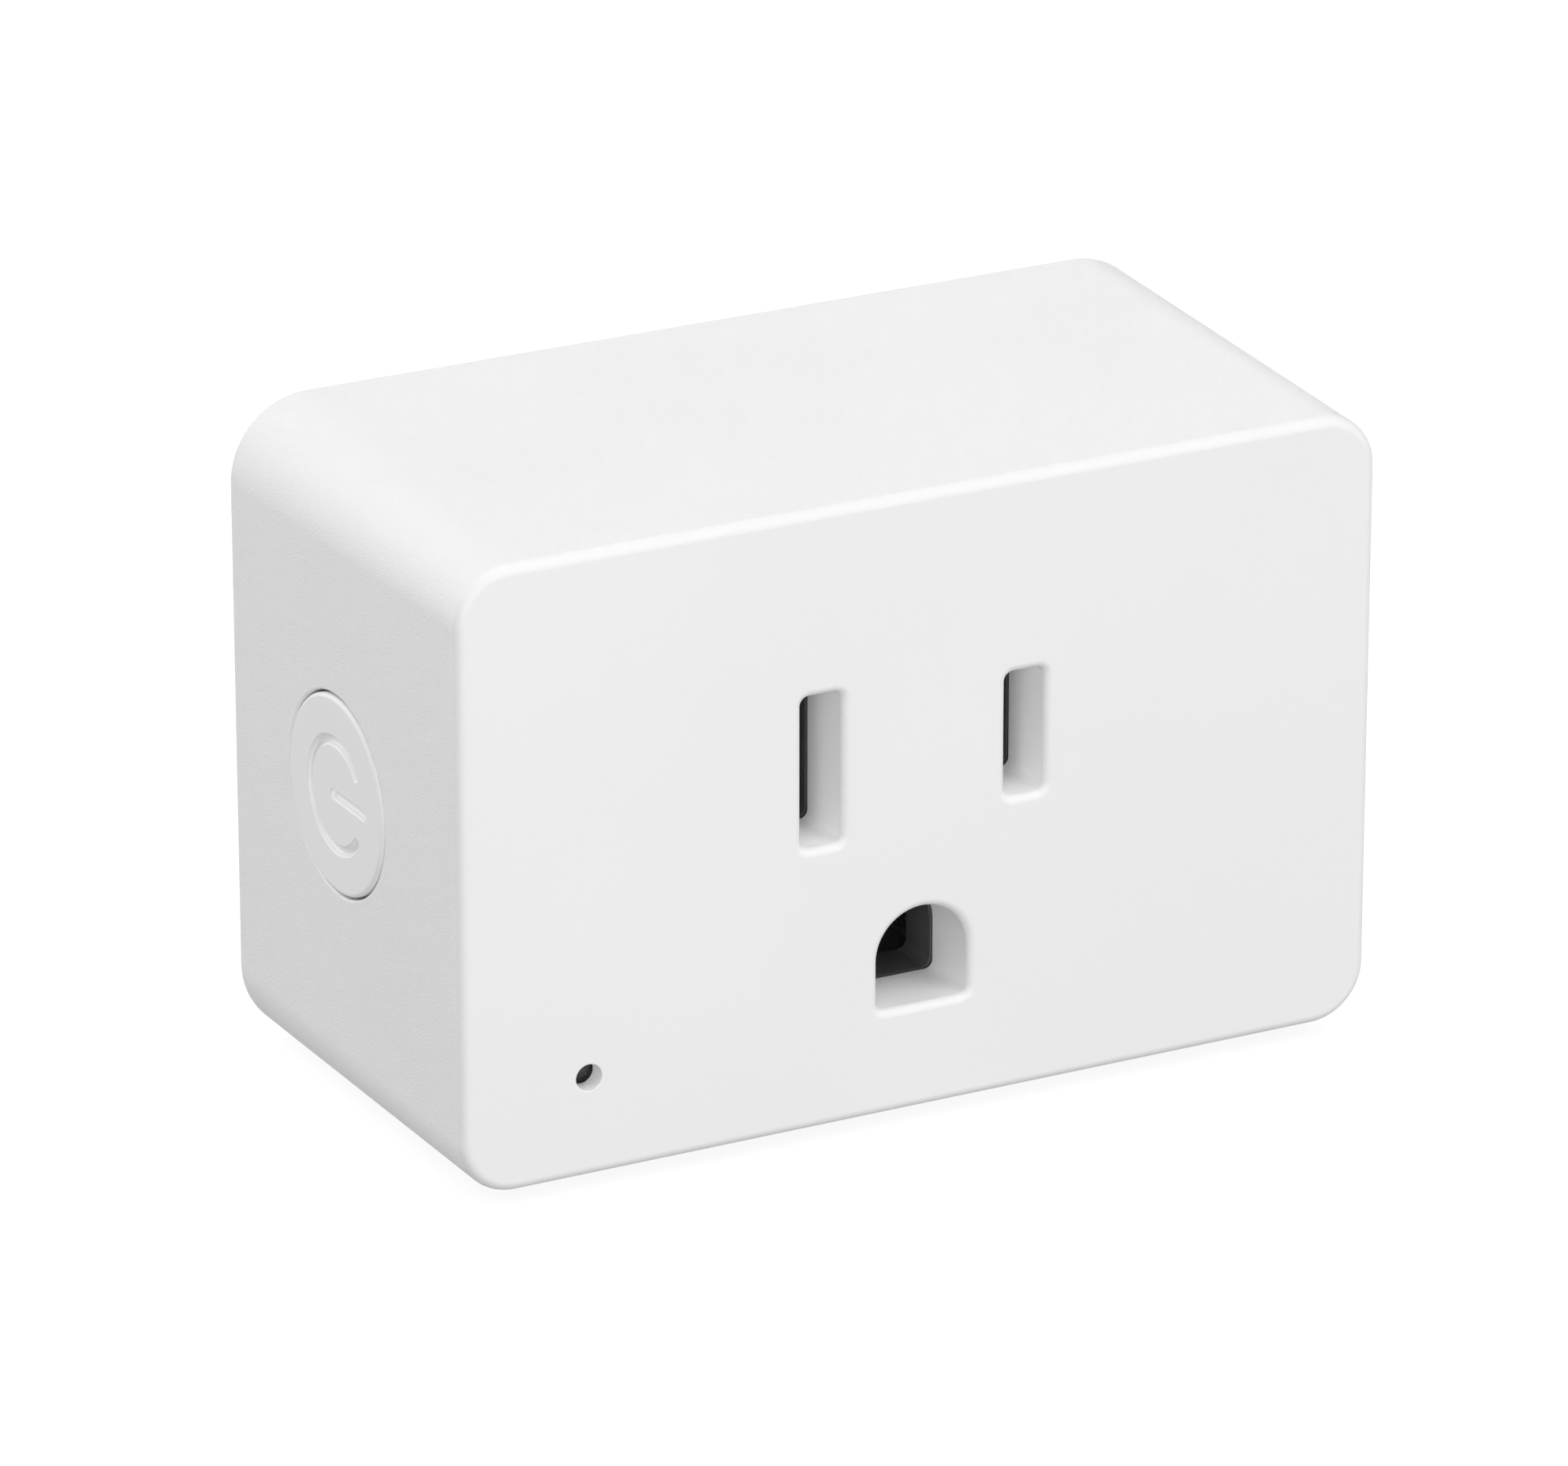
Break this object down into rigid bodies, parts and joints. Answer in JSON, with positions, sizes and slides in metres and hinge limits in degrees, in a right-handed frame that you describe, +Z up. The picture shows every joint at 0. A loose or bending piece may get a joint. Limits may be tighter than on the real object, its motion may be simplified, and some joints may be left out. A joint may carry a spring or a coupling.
{
  "type": "smart plug",
  "caption": "Compact white smart plug for a grounded 15 A outlet, with a push button on its side, a status light hole, a switching relay inside and a pass-through outlet in front.",
  "frame": {"origin": "centre of the rear face, which lies against the wall outlet", "axes": "+Y from the outlet face towards the wall, +X to the right as the outlet face is seen, +Z up with the ground opening below"},
  "size_m": [0.0584, 0.0488, 0.0388],
  "materials": {
    "white_shell": "satin white polycarbonate with a fine spark-eroded grain",
    "white_button": "smooth satin white",
    "carrier_plastic": "matt black nylon",
    "clear_plastic": "clear",
    "led_body": "pale diffuser",
    "nickel_brass": "nickel-plated, bright",
    "copper_alloy": "bare phosphor bronze",
    "screw_steel": "zinc-plated",
    "soft_iron": "plain",
    "silver_contact": "bright",
    "tinned_shield": "tinned",
    "green_board": "green solder mask",
    "blue_board": "blue solder mask",
    "relay_plastic": "satin black",
    "bobbin_plastic": "natural nylon",
    "coil_wire": "enamelled copper",
    "black_plastic": "matt black",
    "capacitor_sleeve": "dark sleeve",
    "yellow_epoxy": "yellow case",
    "blue_epoxy": "blue dip coat",
    "resistor_coat": "green-grey coat",
    "ferrite": "dark ferrite"
  },
  "bodies": {
    "housing": {"front_housing": "white_shell", "rear_cover": "white_shell", "contact_carrier": "carrier_plastic", "light_pipe": "clear_plastic", "status_led": "led_body", "ground_contact": "nickel_brass", "hot_blade": "nickel_brass", "neutral_blade": "nickel_brass", "ground_pin": "nickel_brass", "hot_contact": "copper_alloy", "neutral_contact": "copper_alloy", "relay_fixed_terminal": "copper_alloy", "relay_common_terminal": "copper_alloy", "cover_screw_1": "screw_steel", "cover_screw_2": "screw_steel", "cover_screw_3": "screw_steel", "cover_screw_4": "screw_steel", "relay_core": "soft_iron", "relay_yoke": "soft_iron", "relay_fixed_contact": "silver_contact", "relay_coil_pin_1": "silver_contact", "relay_coil_pin_2": "silver_contact", "tact_switch_dome": "silver_contact", "wifi_shield_can": "tinned_shield", "tact_switch_cover": "tinned_shield", "main_board": "green_board", "control_board": "green_board", "wifi_module_board": "blue_board", "relay_case": "relay_plastic", "relay_base": "relay_plastic", "relay_bobbin": "bobbin_plastic", "relay_coil": "coil_wire", "board_connector": "black_plastic", "tact_switch_body": "black_plastic", "bridge_rectifier": "black_plastic", "converter_chip": "black_plastic", "mains_capacitor": "capacitor_sleeve", "output_capacitor": "capacitor_sleeve", "suppression_capacitor": "yellow_epoxy", "surge_varistor": "blue_epoxy", "fuse_resistor": "resistor_coat", "filter_inductor": "ferrite"},
    "button": {"power_button": "white_button"},
    "switch_plunger": {"tact_switch_plunger": "black_plastic"},
    "armature": {"relay_armature": "soft_iron", "relay_moving_spring": "copper_alloy", "relay_moving_contact": "silver_contact"}
  },
  "joints": [
    {"name": "power_button_press", "type": "slide", "parent": "housing", "child": "button", "axis": [1, 0, 0], "range_m": [0, 0.00035], "stiffness_N_per_m": 800, "springref_m": -0.0005},
    {"name": "tact_plunger_press", "type": "slide", "parent": "housing", "child": "switch_plunger", "axis": [1, 0, 0], "range_m": [0, 0.00035], "deforming": ["tact_switch_dome"]},
    {"name": "relay_armature_swing", "type": "hinge", "parent": "housing", "child": "armature", "pos_m": [0.0174, -0.0186, -0.0049], "axis": [-1, 0, 0], "range_deg": [0, 4], "stiffness_Nm_per_rad": 0.002, "springref_deg": -8.59}
  ],
  "couplings": [
    {"joint": "tact_plunger_press", "follows": "power_button_press", "ratio": 1}
  ]
}
